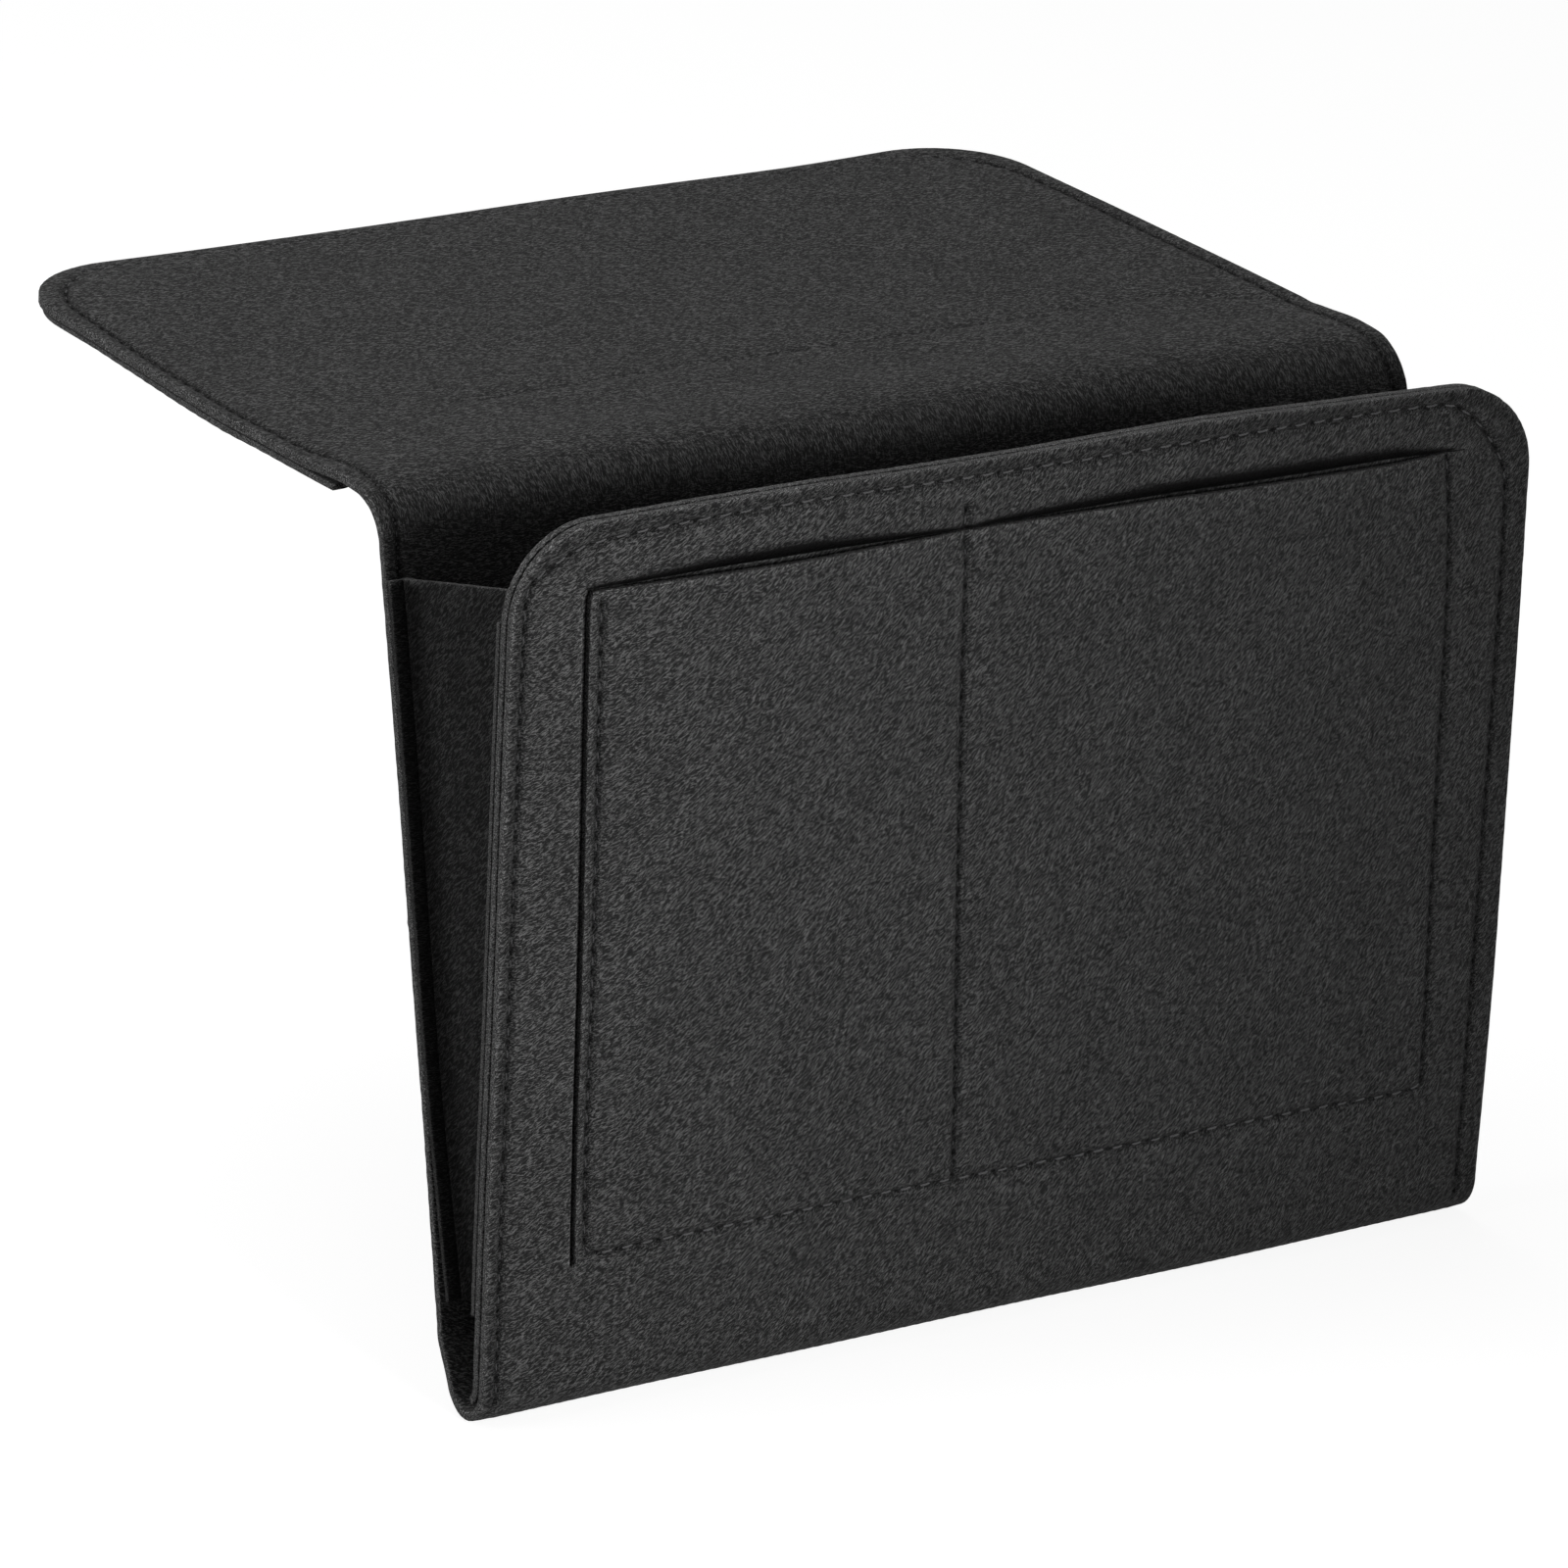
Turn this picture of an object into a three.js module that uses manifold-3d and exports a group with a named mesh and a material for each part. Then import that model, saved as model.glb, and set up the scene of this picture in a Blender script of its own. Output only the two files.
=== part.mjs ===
// Felt bedside caddy. A level flap lies between a mattress and the bed base, and one long strip of
// felt runs on from it: over a soft bend, down the back panel, round a fold and up the front panel.
// Two gussets, each folded inward down its middle, close the sides of the pocket between the panels.
// Millimetres, +X to the right, +Y toward the bed, +Z up. The origin is the middle of the flap's
// underside, on the face that lies on the bed base.
import * as THREE from 'three';
import { mergeVertices } from 'three/addons/utils/BufferGeometryUtils.js';
import Module from 'manifold-3d';

const wasm = await Module();
wasm.setup();

const degree = Math.PI / 180;

// Felt thicknesses, and the small gap kept between plies and at folds that turn
const mainFelt = 3;
const liningFelt = 3;
const thinFelt = 2;
const plyGap = 0.3;

// The strip and the flap, whose length runs back from the corner where flap and back panel would meet
const stripWidth = 320;
const flapReach = 204.5;
const flapCornerRadius = 30;
const underPlyStart = 26;
const bendRadius = 12;

// The back panel stands off plumb at its foot, and drops from the same corner to the fold's centre
const swing = 11.5 * degree;
const backDrop = 229;

// The fold at the foot lies forward of the back panel, which creases above it to reach it
const foldRadius = 6.5;
const foldForward = 11.3;
const creaseRise = 8.3;

// The front panel leans open from the back panel by this angle
const lean = 11.5 * degree;
const frontRise = 233;
const frontCornerRadius = 25;

// One slit along the top of the front panel and down its left side opens the two slip pockets
const slitWidth = 1.8;
const slitTopInset = 18;
const slitLeftInset = 23;
const slitRightInset = 24;
const slitFoot = 30;

// Gussets: where their creases lie, their ends, how far the webs fold inward, and the room at the
// middle crease for the webs to pass each other as the pocket opens
const gussetInset = 5;
const gussetDrop = 20.5;
const gussetFoot = 19.6;
const gussetFold = 50 * degree;
const creaseRelief = 2.2;

// Every cut runs past its piece by this much
const overrun = 5;
const arcSteps = 6;

const charcoal = 0x3b3b3c;
const innerCharcoal = 0x383839;

// Sizes that follow from the ones above
const bendMiddle = bendRadius + mainFelt / 2;
const bendOuter = bendRadius + mainFelt;
const bendTurn = Math.PI / 2 - swing;
const bendTangent = bendMiddle * Math.tan(bendTurn / 2);
const foldMiddle = foldRadius + mainFelt / 2;
const foldOuter = foldRadius + mainFelt;
const hingeRound = mainFelt / 2;
const hingeStandOff = hingeRound + plyGap;
const liningFront = -foldRadius + plyGap;
const liningRear = liningFront + liningFelt;
const rearWebLine = -mainFelt / 2 - plyGap - thinFelt / 2;
const frontWebLine = liningRear + plyGap + thinFelt / 2;
const hemWidth = gussetInset - thinFelt / 2 - plyGap;

// The two web lines of a side meet at an apex below the fold: its height in the back panel's frame
// and in the front panel's
const apexOnFront = (frontWebLine * Math.cos(lean) - foldForward - rearWebLine) / Math.sin(lean);
const apexOnBack = -backDrop + frontWebLine * Math.sin(lean) + apexOnFront * Math.cos(lean);
const webTop = -gussetDrop - apexOnBack;
const webFoot = gussetFoot - backDrop - apexOnBack;
const webSlope = Math.tan(lean / 2) / Math.cos(gussetFold);

const xAxis = new THREE.Vector3(1, 0, 0);
const yAxis = new THREE.Vector3(0, 1, 0);
const zAxis = new THREE.Vector3(0, 0, 1);

// A closed geometry as a solid, and a solid as a geometry
function solidOf(geometry) {
  const bare = geometry.clone();
  bare.deleteAttribute('normal');
  bare.deleteAttribute('uv');
  const merged = mergeVertices(bare);
  return new wasm.Manifold(new wasm.Mesh({
    numProp: 3,
    vertProperties: new Float32Array(merged.attributes.position.array),
    triVerts: new Uint32Array(merged.index.array),
  }));
}

function geometryOf(solid) {
  const mesh = solid.getMesh();
  const geometry = new THREE.BufferGeometry();
  geometry.setAttribute('position', new THREE.BufferAttribute(mesh.vertProperties, 3));
  geometry.setIndex(new THREE.BufferAttribute(mesh.triVerts, 1));
  geometry.computeVertexNormals();
  return geometry;
}

function extrude(shape, depth) {
  return new THREE.ExtrudeGeometry(shape, { depth, bevelEnabled: false, curveSegments: arcSteps });
}

// A section drawn in (y, z), as long as the strip is wide
function stripOf(section) {
  const geometry = extrude(section, stripWidth);
  geometry.translate(0, 0, -stripWidth / 2);
  return geometry.applyMatrix4(new THREE.Matrix4().makeBasis(yAxis, zAxis, xAxis));
}

// An outline drawn in (x, z), filling y from front to rear
function uprightPlate(outline, front, rear) {
  const geometry = extrude(outline, rear - front);
  geometry.applyMatrix4(new THREE.Matrix4().makeBasis(xAxis, zAxis, yAxis.clone().negate()));
  return geometry.translate(0, rear, 0);
}

// An outline drawn in (x, y), filling z from low to high
function levelPlate(outline, low, high) {
  return extrude(outline, high - low).translate(0, 0, low);
}

// The strip's outline from near to far, with its two far corners rounded
function roundedEnd(near, far, radius) {
  const half = stripWidth / 2;
  const outline = new THREE.Shape();
  outline.moveTo(-half, near);
  outline.lineTo(half, near);
  outline.lineTo(half, far - radius);
  outline.absarc(half - radius, far - radius, radius, 0, Math.PI / 2, false);
  outline.lineTo(radius - half, far);
  outline.absarc(radius - half, far - radius, radius, Math.PI / 2, Math.PI, false);
  outline.lineTo(-half, near);
  return outline;
}

function addPiece(parent, name, geometry, colour) {
  const felt = new THREE.MeshStandardMaterial({ color: colour, roughness: 0.95, metalness: 0 });
  const mesh = new THREE.Mesh(geometry, felt);
  mesh.name = name;
  parent.add(mesh);
  return mesh;
}

// Flap: the strip's level end with half of the bend, ending in a round edge that the back turns about
function flapSection() {
  const hingeAngle = Math.PI / 2 + bendTurn / 2;
  const hingeY = bendTangent + bendMiddle * Math.cos(hingeAngle);
  const hingeZ = -bendMiddle + bendMiddle * Math.sin(hingeAngle);
  const section = new THREE.Shape();
  section.moveTo(flapReach + overrun, mainFelt / 2);
  section.lineTo(bendTangent, mainFelt / 2);
  section.absarc(bendTangent, -bendMiddle, bendOuter, Math.PI / 2, hingeAngle, false);
  section.absarc(hingeY, hingeZ, hingeRound, hingeAngle, hingeAngle + Math.PI, false);
  section.absarc(bendTangent, -bendMiddle, bendRadius, hingeAngle, Math.PI / 2, true);
  section.lineTo(flapReach + overrun, -mainFelt / 2);
  section.lineTo(flapReach + overrun, mainFelt / 2);
  return section;
}

function buildFlap(caddy) {
  const plan = levelPlate(roundedEnd(-bendOuter, flapReach, flapCornerRadius), -bendOuter, bendOuter);
  const sheet = solidOf(stripOf(flapSection())).intersect(solidOf(plan));
  addPiece(caddy, 'flap_sheet', geometryOf(sheet), charcoal);
  const top = -mainFelt / 2 - plyGap;
  const underPly = levelPlate(roundedEnd(underPlyStart, flapReach, flapCornerRadius), top - thinFelt, top);
  addPiece(caddy, 'flap_under_ply', underPly, charcoal);
}

// Back panel: the rest of the bend, the panel, the crease and the back half of the fold, which ends
// in the round edge that the front turns about
function backSection() {
  const start = Math.PI - bendTurn / 2 + hingeStandOff / bendMiddle;
  const half = mainFelt / 2;
  const reach = Math.hypot(foldForward, creaseRise);
  const slant = Math.acos(foldMiddle / reach) - Math.atan2(creaseRise, foldForward);
  const mitre = half * Math.tan(slant / 2);
  const crease = -backDrop + creaseRise;
  const section = new THREE.Shape();
  section.moveTo(bendMiddle + bendOuter * Math.cos(start), -bendTangent + bendOuter * Math.sin(start));
  section.absarc(bendMiddle, -bendTangent, bendOuter, start, Math.PI, false);
  section.lineTo(-half, crease + mitre);
  section.absarc(-foldForward, -backDrop, foldRadius, -slant, -Math.PI / 2, true);
  section.absarc(-foldForward, -backDrop - foldMiddle, hingeRound, Math.PI / 2, 3 * Math.PI / 2, false);
  section.absarc(-foldForward, -backDrop, foldOuter, -Math.PI / 2, -slant, false);
  section.lineTo(half, crease - mitre);
  section.lineTo(half, -bendTangent);
  section.absarc(bendMiddle, -bendTangent, bendRadius, Math.PI, start, true);
  return section;
}

// Front panel: the front half of the fold and the panel, with rounded top corners and the slit
function frontSection() {
  const end = 3 * Math.PI / 2 - lean - hingeStandOff / foldMiddle;
  const section = new THREE.Shape();
  section.moveTo(-foldOuter, frontRise + overrun);
  section.absarc(0, 0, foldOuter, Math.PI, end, false);
  section.absarc(0, 0, foldRadius, end, Math.PI, true);
  section.lineTo(-foldRadius, frontRise + overrun);
  section.lineTo(-foldOuter, frontRise + overrun);
  return section;
}

function slitOutline() {
  const left = -stripWidth / 2 + slitLeftInset;
  const right = stripWidth / 2 - slitRightInset;
  const top = frontRise - slitTopInset;
  const outline = new THREE.Shape();
  outline.moveTo(left, slitFoot);
  outline.lineTo(left + slitWidth, slitFoot);
  outline.lineTo(left + slitWidth, top - slitWidth);
  outline.lineTo(right, top - slitWidth);
  outline.lineTo(right, top);
  outline.lineTo(left, top);
  outline.lineTo(left, slitFoot);
  return outline;
}

function buildFront(front) {
  const outline = roundedEnd(-foldOuter - overrun, frontRise, frontCornerRadius);
  const plate = solidOf(uprightPlate(outline, -foldOuter - overrun, overrun));
  const slit = solidOf(uprightPlate(slitOutline(), -foldOuter - overrun, liningFront));
  const sheet = solidOf(stripOf(frontSection())).intersect(plate).subtract(slit);
  addPiece(front, 'front_sheet', geometryOf(sheet), charcoal);
  const lining = uprightPlate(roundedEnd(0, frontRise, frontCornerRadius), liningFront, liningRear);
  addPiece(front, 'front_lining', lining, charcoal);
}

// Gusset web: a tapered leaf from its crease on a panel to the middle crease. Drawn with the panel's
// crease along z through the apex, and the leaf along +X.
function webGeometry() {
  const half = thinFelt / 2;
  const squared = 1 + webSlope * webSlope;
  const freeTop = (webTop * webSlope - creaseRelief) / squared;
  const freeFoot = (webFoot * webSlope - creaseRelief) / squared;
  const section = new THREE.Shape();
  section.absarc(0, 0, half, Math.PI / 2, 3 * Math.PI / 2, false);
  section.lineTo(freeTop + overrun, -half);
  section.lineTo(freeTop + overrun, half);
  section.lineTo(0, half);
  const strip = levelPlate(section, webFoot - freeFoot - overrun, webTop + overrun);
  const leaf = new THREE.Shape();
  leaf.moveTo(-half, webFoot + half * webSlope);
  leaf.lineTo(freeFoot, webFoot - freeFoot * webSlope);
  leaf.lineTo(freeTop, webTop - freeTop * webSlope);
  leaf.lineTo(-half, webTop + half * webSlope);
  leaf.lineTo(-half, webFoot + half * webSlope);
  return geometryOf(solidOf(strip).intersect(solidOf(uprightPlate(leaf, -half - overrun, half + overrun))));
}

// Gusset hem: the narrow flange of a gusset, sewn flat on its panel outboard of the web
function hemGeometry(side, middle, foot, top) {
  const outer = stripWidth / 2;
  const hem = new THREE.BoxGeometry(hemWidth, thinFelt, top - foot);
  return hem.translate(side * (outer - hemWidth / 2), middle, (top + foot) / 2);
}

function buildGusset(label, side, back, front) {
  const hingeX = side * (stripWidth / 2 - gussetInset);
  const rearHem = hemGeometry(side, rearWebLine, webFoot + apexOnBack, webTop + apexOnBack);
  addPiece(back, `gusset_${label}_rear_hem`, rearHem, innerCharcoal);
  const frontHem = hemGeometry(side, frontWebLine, webFoot + apexOnFront, webTop + apexOnFront);
  addPiece(front, `gusset_${label}_front_hem`, frontHem, innerCharcoal);
  const rearWeb = addPiece(back, `gusset_${label}_rear_web`, webGeometry(), innerCharcoal);
  rearWeb.position.set(hingeX, rearWebLine, apexOnBack);
  rearWeb.rotation.z = -Math.PI / 2 - side * gussetFold;
  const frontWeb = addPiece(front, `gusset_${label}_front_web`, webGeometry(), innerCharcoal);
  frontWeb.position.set(hingeX, frontWebLine, apexOnFront);
  frontWeb.rotation.z = Math.PI / 2 + side * gussetFold;
}

// The whole caddy, hung from the flap's underside
const caddy = new THREE.Group();
caddy.position.set(0, -(underPlyStart + flapReach) / 2, thinFelt + plyGap + mainFelt / 2);
buildFlap(caddy);

const back = new THREE.Group();
back.rotation.x = -swing;
caddy.add(back);
addPiece(back, 'back_sheet', stripOf(backSection()), charcoal);

const front = new THREE.Group();
front.position.set(0, -foldForward, -backDrop);
front.rotation.x = lean;
back.add(front);
buildFront(front);

buildGusset('left', -1, back, front);
buildGusset('right', 1, back, front);

export default caddy;
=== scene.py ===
import math

import bmesh
import bpy
import numpy as np
from mathutils import Matrix, Vector, geometry, kdtree


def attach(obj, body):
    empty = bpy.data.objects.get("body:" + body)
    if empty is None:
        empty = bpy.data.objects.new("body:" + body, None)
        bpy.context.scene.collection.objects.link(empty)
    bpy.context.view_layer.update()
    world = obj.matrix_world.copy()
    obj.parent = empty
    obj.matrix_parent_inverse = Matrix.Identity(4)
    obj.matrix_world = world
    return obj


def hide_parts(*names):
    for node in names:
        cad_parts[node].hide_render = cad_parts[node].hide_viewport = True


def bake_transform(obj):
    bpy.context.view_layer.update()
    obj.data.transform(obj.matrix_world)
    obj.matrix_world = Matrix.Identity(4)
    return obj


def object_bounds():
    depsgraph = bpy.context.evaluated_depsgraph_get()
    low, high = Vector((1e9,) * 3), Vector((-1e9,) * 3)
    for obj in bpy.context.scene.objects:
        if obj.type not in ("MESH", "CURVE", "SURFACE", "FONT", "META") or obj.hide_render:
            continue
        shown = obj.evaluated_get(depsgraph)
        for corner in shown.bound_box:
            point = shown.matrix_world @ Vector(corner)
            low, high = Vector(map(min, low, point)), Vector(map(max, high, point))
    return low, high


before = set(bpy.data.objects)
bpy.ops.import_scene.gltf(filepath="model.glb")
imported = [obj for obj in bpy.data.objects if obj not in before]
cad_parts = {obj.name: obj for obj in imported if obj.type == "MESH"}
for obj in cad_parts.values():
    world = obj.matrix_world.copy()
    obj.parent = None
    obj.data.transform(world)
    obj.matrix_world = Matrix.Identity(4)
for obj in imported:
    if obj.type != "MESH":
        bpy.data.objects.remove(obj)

MM = 0.001
cad_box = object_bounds()


# --- camera
# Fitted to the outlines in the photograph: yaw, downward pitch and roll in degrees, place, and lens
AIM, EYE, LENS = (34.031, 20.083, 2.79), (-1367.5, -2093.9, 779.0), 219.87


def make_camera():
    yaw, pitch, roll = (math.radians(angle) for angle in AIM)
    ahead = Vector((math.sin(yaw) * math.cos(pitch), math.cos(yaw) * math.cos(pitch), -math.sin(pitch)))
    level = Vector((math.cos(yaw), -math.sin(yaw), 0))
    rise = level.cross(ahead)
    right = level * math.cos(roll) + rise * math.sin(roll)
    up = rise * math.cos(roll) - level * math.sin(roll)
    camera = bpy.data.objects.new("camera", bpy.data.cameras.new("camera"))
    bpy.context.scene.collection.objects.link(camera)
    turn = Matrix((right, up, -ahead)).transposed().to_4x4()
    camera.matrix_world = Matrix.Translation(Vector(EYE) * MM) @ turn
    camera.data.sensor_width = 36
    camera.data.lens = LENS
    camera.data.clip_start, camera.data.clip_end = 0.1, 100
    bpy.context.scene.camera = camera


make_camera()

# --- the frame's own sizes
HALF = 160.0  # half of the strip's width
FELT, THIN, GAP = 3.0, 2.0, 0.3  # the strip's felt, the thinner felt, and the room between plies
CORNER = (-115.25, 3.8)  # (y, z) where the middles of the flap and the back panel would meet
SWING = math.radians(11.5)  # the back panel's slope, and its angle with the upright front panel
REACH, DROP, RISE = 204.5, 229.0, 233.0  # of the flap, the back panel and the front panel
BEND, FOLD, SOFT = 13.5, 8.0, 5.0  # radii of the strip's middle: bend, fold at the foot, crease
FORWARD, CREASE = 11.3, 8.3  # how far the fold's centre lies before the back panel and under its crease
HINGE = 155.0  # how far out the gussets' creases on the panels lie
TURN = math.pi / 2 - SWING
TANGENT = BEND * math.tan(TURN / 2)
SPAN = math.hypot(FORWARD, CREASE)
SLANT = math.acos(FOLD / SPAN) - math.atan2(CREASE, FORWARD)
FOLD_TURN = TURN - SLANT + math.pi / 2
BLUNT = SOFT * math.tan(SLANT / 2)


def back_point(x, y, z):
    """A point of the back panel's own frame, hung from the corner, as (x, y, z) of the part."""
    across = CORNER[0] + y * math.cos(SWING) + z * math.sin(SWING)
    return x, across, CORNER[1] - y * math.sin(SWING) + z * math.cos(SWING)


FOOT = back_point(0, -FORWARD, -DROP)  # the fold's centre

# A gusset's creases on the panels, by their y from the back panel's middle and from the fold's centre.
# They would meet in an apex under the foot, from which its webs are measured.
WEB_REAR, WEB_FRONT = -2.8, -1.9
GUSSET_TOP, GUSSET_FOOT = -20.5, 19.6 - DROP
APEX_FRONT = (WEB_FRONT * math.cos(SWING) - FORWARD - WEB_REAR) / math.sin(SWING)
APEX_BACK = -DROP + WEB_FRONT * math.sin(SWING) + APEX_FRONT * math.cos(SWING)
WEB_TOP, WEB_FOOT = GUSSET_TOP - APEX_BACK, GUSSET_FOOT - APEX_BACK
WEB_FOLD = math.radians(50)
WEB_SLOPE = math.tan(SWING / 2) / math.cos(WEB_FOLD)

# The strip's middle line from the flap's far end to the front panel's top: (length, turn) of each run
RUNS = [
    (REACH - TANGENT, 0),
    (BEND * TURN, TURN),
    (DROP - CREASE - TANGENT - BLUNT, 0),
    (SOFT * SLANT, -SLANT),
    (math.sqrt(SPAN**2 - FOLD**2) - BLUNT, 0),
    (FOLD * FOLD_TURN, -FOLD_TURN),
    (RISE + 5, 0),
]
STARTS = np.concatenate([[0], np.cumsum([length for length, _ in RUNS])])
V_BEND, V_BACK, V_CREASE, V_FOLD, V_FRONT = STARTS[[1, 2, 3, 5, 6]]
V_END = V_FRONT + RISE
V_SPLIT = V_BACK + 110 - TANGENT


def strip_line():
    """(v, y, z, angle) along the strip's middle. The angle is 0 toward -Y, a quarter turn downward."""
    at, angle, v, rows = np.array([CORNER[0] + REACH, CORNER[1]]), 0.0, 0.0, []
    for length, turn in RUNS:
        s = np.linspace(0, length, max(2, int(length / (0.25 if turn else 5)) + 1))
        if turn:
            bend = angle + turn / length * s
            y = at[0] - (np.sin(bend) - math.sin(angle)) * length / turn
            z = at[1] + (np.cos(bend) - math.cos(angle)) * length / turn
        else:
            bend = np.full(len(s), angle)
            y, z = at[0] - math.cos(angle) * s, at[1] - math.sin(angle) * s
        rows.append(np.stack([v + s, y, z, bend], 1))
        at, angle, v = np.array([y[-1], z[-1]]), angle + turn, v + length
    return np.concatenate(rows)


LINE = strip_line()


def smooth(x, low, high):
    """From 0 up to low to 1 from high on, with a level start and end."""
    t = np.clip((x - low) / (high - low), 0, 1)
    return t * t * (3 - 2 * t)


def bump(x, middle, width):
    """1 in the middle and falling off to both sides."""
    return np.exp(-(((x - middle) / width) ** 2))


def past_split(v):
    """From 0 where the strip's halves meet to 1 further down, for what only the lower one has."""
    return smooth(v, V_SPLIT, V_SPLIT + 60)


# --- where each ply lies
def on_strip(u, v, h):
    """Points across, along, and over the strip's middle, up being the flap's top side."""
    y, z, angle = (np.interp(v, LINE[:, 0], LINE[:, k]) for k in (1, 2, 3))
    h = h + strip_shift(u, v)
    return np.stack([u, y - np.sin(angle) * h - forward(u, v), z + np.cos(angle) * h], -1)


def waves(u, v):
    """The felt's slow unevenness, shared by plies that lie on each other."""
    return 0.13 * (np.sin(u / 21 + v / 33) + np.sin(u / 34 - v / 19 + 1.3) + np.sin(v / 47 + 0.5))


SLIT = [-138, -120, -97, -72, -48, -23, -12, 14, 39, 65, 90, 115, 128, 134, 138]
POCKETS = (-132, 109), (-21, 157)  # where each slip pocket starts, and its width


def slit_low(u):
    """The slit's lower edge."""
    return np.interp(u, SLIT, [214.3, 214.3, 213.97, 213.83, 214.1, 214.16, 214.4, 214.3, 214.3, 213.8,
                               213.35, 212.9, 213.4, 213.3, 213.6])


def slit_top(u):
    """The slit's upper edge."""
    return slit_low(u) + np.interp(u, SLIT, [0.8, 0.5, 0.8, 0.8, 0.5, 0.3, 0.3, 0.3, 0.3, 0.4, 0.5, 0.9,
                                             0.3, 0.6, 0.3])


def slit_roll(u, v):
    """How far the slit's upper lip rolls back behind the lower one, and the painted shade on it there."""
    size = np.interp(u, [-141, -136] + SLIT[1:], [0, 0.3, 0.5, 0.85, 1, 0.6, 0.3, 0.5, 0.75, 1, 1, 1.05,
                                                  0.85, 0.4, 0.15, 0]) + 1e-3
    over = v - V_FRONT - slit_top(u)
    near = over > -0.2
    return (np.where(near, 1.8 * size * (1 - smooth(over, 0, 5 * size)), 0),
            np.where(near, (1 - smooth(over, 2.4 * size, 6 * size)) * np.minimum(1, 6 * size), 0))


def pocket_swell(u, z):
    """How far the slip pockets' mouths stand out of the front panel."""
    low = z < (slit_top(u) + slit_low(u)) / 2
    left, right = (np.sin(np.pi * np.clip((u - start) / width, 0, 1)) for start, width in POCKETS)
    across = np.where(u < -22, left, right) ** 0.8
    return np.where(low, 1.9 * across * smooth(z, 128, 212), 0)


def flap_rise(u, y):
    """How far the flap lifts toward its right and far edges."""
    far = 0.8 * smooth(y, 100, 190) * (0.3 + 0.7 * smooth(-u, 90, 150))
    return smooth(u, 90, 160) * smooth(y, 15, 80) + far


def forward(u, v):
    """How far the bend's right end lies nearer than its left end."""
    grown = 5.5 * smooth(u, 60, 160) * smooth(v, V_BEND - 70, V_BEND)
    return grown * (1 - smooth(v, V_BACK + 10, V_BACK + 60))


def shoulder(u, v):
    """How far the back panel's right edge stands out under the bend."""
    return 3 * bump(v, V_BACK + 12, 12) * smooth(u, 70, 160)


def flap_crease(u):
    """Where a faint crease crosses the flap."""
    return np.interp(u, [-104, -29, 83, 124, 161], [56.8, 59.2, 55.5, 58.2, 38])


V_SAG = 442  # in the fold


def fold_sag(v):
    """How far the fold at the foot bulges out of its arc."""
    return 1.7 * bump(v, V_SAG, 7)


def strip_shift(u, v):
    """All of this together, and a hump on the flap before the bend."""
    flap = 1.1 * bump(REACH - v, 20, 11) * smooth(v, 120, 170) + flap_rise(u, REACH - v)
    flap = flap - 0.3 * bump(REACH - v, flap_crease(u), 2.6) * smooth(u, -125, -85)
    flap = flap * (1 - smooth(v, V_BEND, V_BACK)) + shoulder(u, v)
    return waves(u, v) + flap - fold_sag(v) - np.where(v > V_FRONT, pocket_swell(u, v - V_FRONT), 0)


def on_under_ply(u, v, h):
    """Under the flap, a little closer to it than in the frame."""
    y = REACH - v
    close = 0.2 + 0.3 * smooth(y, 80, 150)
    z = CORNER[1] - FELT / 2 - GAP - THIN / 2 + h + waves(u, v) + close + flap_rise(u, y)
    return np.stack([u, CORNER[0] + y, z], -1)


def seated_lining(u):
    """How much closer to the strip the lining lies, toward its right."""
    return 0.27 * smooth(u, -40, 20)


def on_lining(u, v, h):
    """Flat behind the front panel, and turned a little into the fold at its foot."""
    radius = FOLD - FELT - GAP
    turn = np.clip(V_FRONT - v, 0, None) / radius
    reach = radius - h - waves(u, v) + fold_sag(v) + seated_lining(u)
    z = FOOT[2] + np.maximum(v - V_FRONT, 0) - reach * np.sin(turn)
    return np.stack([u, FOOT[1] - reach * np.cos(turn), z], -1)


def stand_off(z):
    """How far the gusset's hem stands off the back panel near its foot."""
    return 3.0 * np.clip((-z - 148) / 61, 0, 1.1) ** 1.3


SEATED = 0.34  # how far a hem is pressed down on its panel from its place in the frame


def on_rear_hem(side):
    """The hem on the back panel: in from the strip's edge, along it, and over the hem's middle."""
    def place(u, v, h):
        z = -(v - V_BACK) - TANGENT
        x = side * (HALF - u)
        y = WEB_REAR + SEATED - h - waves(x, v) - stand_off(z) - shoulder(x, v) - forward(x, v)
        return np.stack(back_point(x, y, z), -1)
    return place


def on_front_hem(side):
    """The same for the hem behind the lining."""
    def place(u, v, h):
        x = side * (HALF - u)
        y = FOOT[1] + WEB_FRONT - SEATED - seated_lining(x) + h + waves(x, v)
        return np.stack([x, y, FOOT[2] + v - V_FRONT], -1)
    return place


def on_web(side, rear):
    """A web of a gusset: out from its crease on the panel, up from the apex, and over its middle."""
    angle = -(math.pi / 2 + side * WEB_FOLD) if rear else math.pi / 2 + side * WEB_FOLD

    def place(u, v, h):
        bow = 0.5 * np.sin(np.pi * np.clip(u / (v * WEB_SLOPE), 0, 1)) * smooth(v, WEB_FOOT, WEB_TOP)
        h = h + bow * (-side if rear else side)
        x = side * HINGE + u * math.cos(angle) - h * math.sin(angle)
        y = u * math.sin(angle) + h * math.cos(angle)
        if rear:
            root = side * HINGE, back_v(APEX_BACK + v)
            out = stand_off(APEX_BACK + v) + shoulder(*root) + forward(*root)
            y = y - out * (1 - smooth(u, 0, v * WEB_SLOPE))
            return np.stack(back_point(x, WEB_REAR + y, APEX_BACK + v), -1)
        return np.stack([x, FOOT[1] + WEB_FRONT + y, FOOT[2] + APEX_FRONT + v], -1)
    return place


# --- seams
PITCH = 6.2
GRAIN = 8  # samples of a seam per stitch


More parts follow.
